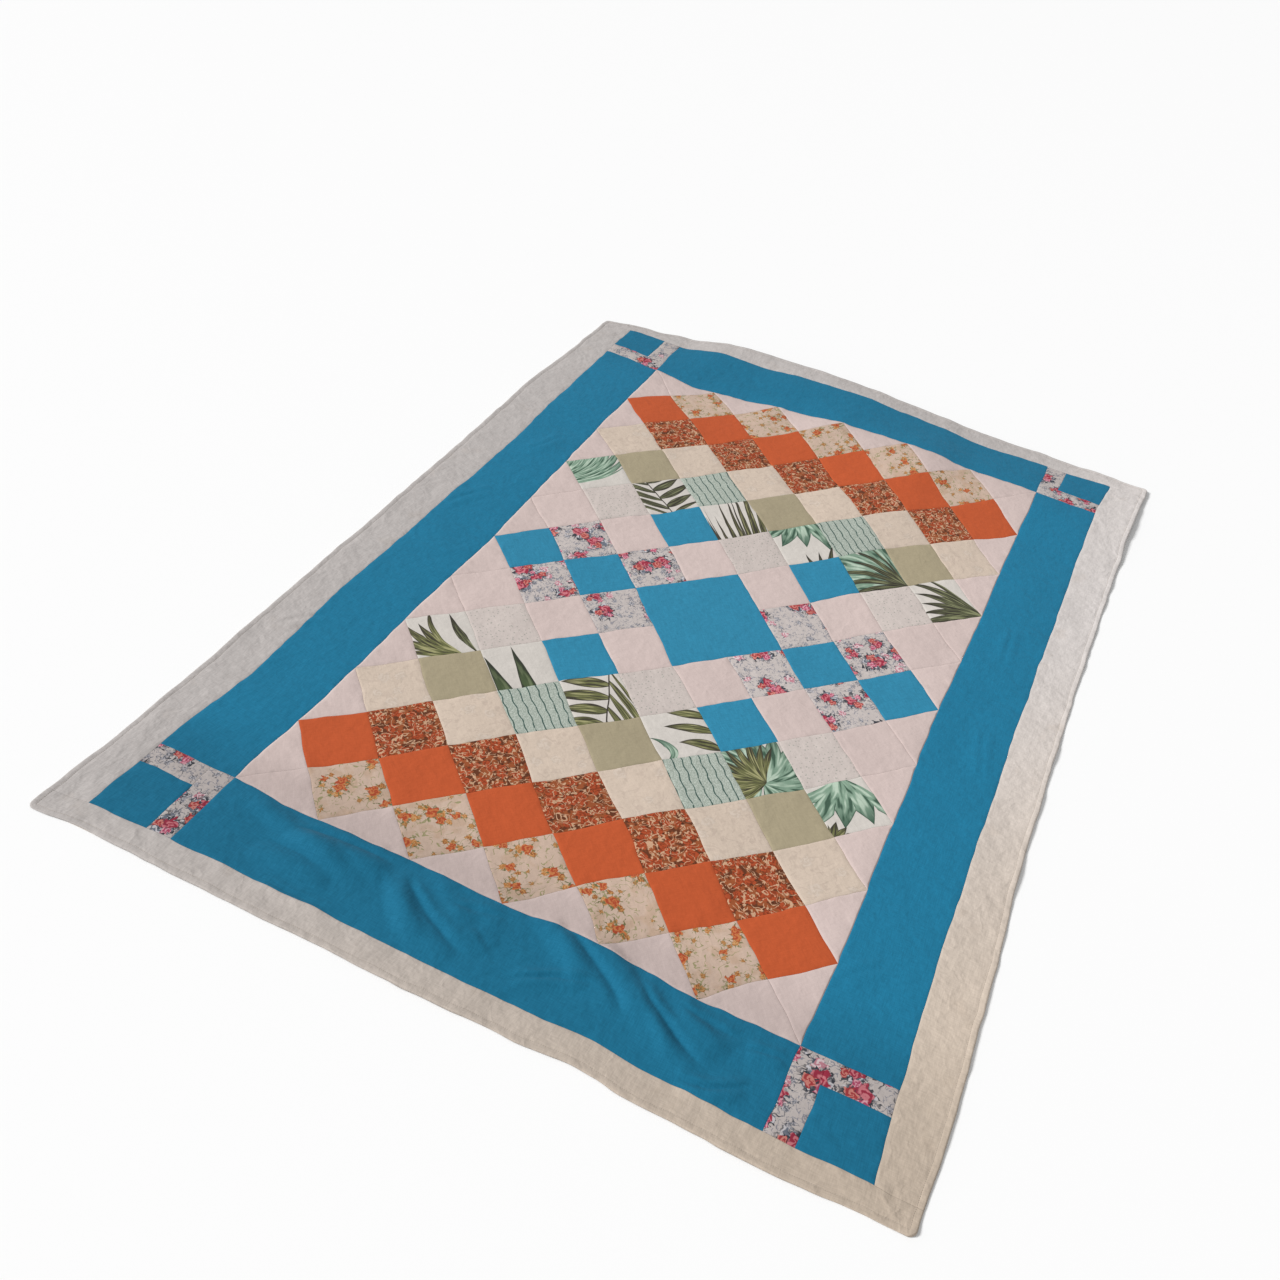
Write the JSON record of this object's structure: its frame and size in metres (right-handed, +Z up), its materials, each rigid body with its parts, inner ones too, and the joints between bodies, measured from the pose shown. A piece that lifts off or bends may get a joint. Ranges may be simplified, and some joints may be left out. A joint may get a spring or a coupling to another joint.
{
  "type": "patchwork quilt",
  "caption": "Patchwork quilt of squares set on point, with wide borders, pieced corner blocks and a plain rim, laid out on a floor.",
  "frame": {"origin": "on the floor under the middle of the laid quilt's box", "axes": "+X across the quilt, +Y along its length towards the end that lies in a low swell, +Z up from the floor"},
  "size_m": [1.4416, 2.0442, 0.027],
  "materials": {
    "patch_cottons": "matte plain and printed cotton, pieced",
    "blue_cotton": "matte plain-weave cotton",
    "rose_print": "matte cotton printed with roses",
    "cream_calico": "matte unbleached calico"
  },
  "bodies": {
    "root": {"patchwork_panel": "patch_cottons", "border_left": "blue_cotton", "border_right": "blue_cotton", "border_near": "blue_cotton", "border_far": "blue_cotton", "rim_left": "cream_calico", "rim_right": "cream_calico", "rim_near": "cream_calico", "rim_far": "cream_calico", "corner_square_near_left": "blue_cotton", "corner_square_near_right": "blue_cotton", "corner_square_far_left": "blue_cotton", "corner_square_far_right": "blue_cotton", "corner_strip_long_near_left": "rose_print", "corner_strip_long_near_right": "rose_print", "corner_strip_long_far_left": "rose_print", "corner_strip_long_far_right": "rose_print", "corner_strip_short_near_left": "rose_print", "corner_strip_short_near_right": "rose_print", "corner_strip_short_far_left": "rose_print", "corner_strip_short_far_right": "rose_print"}
  },
  "joints": []
}
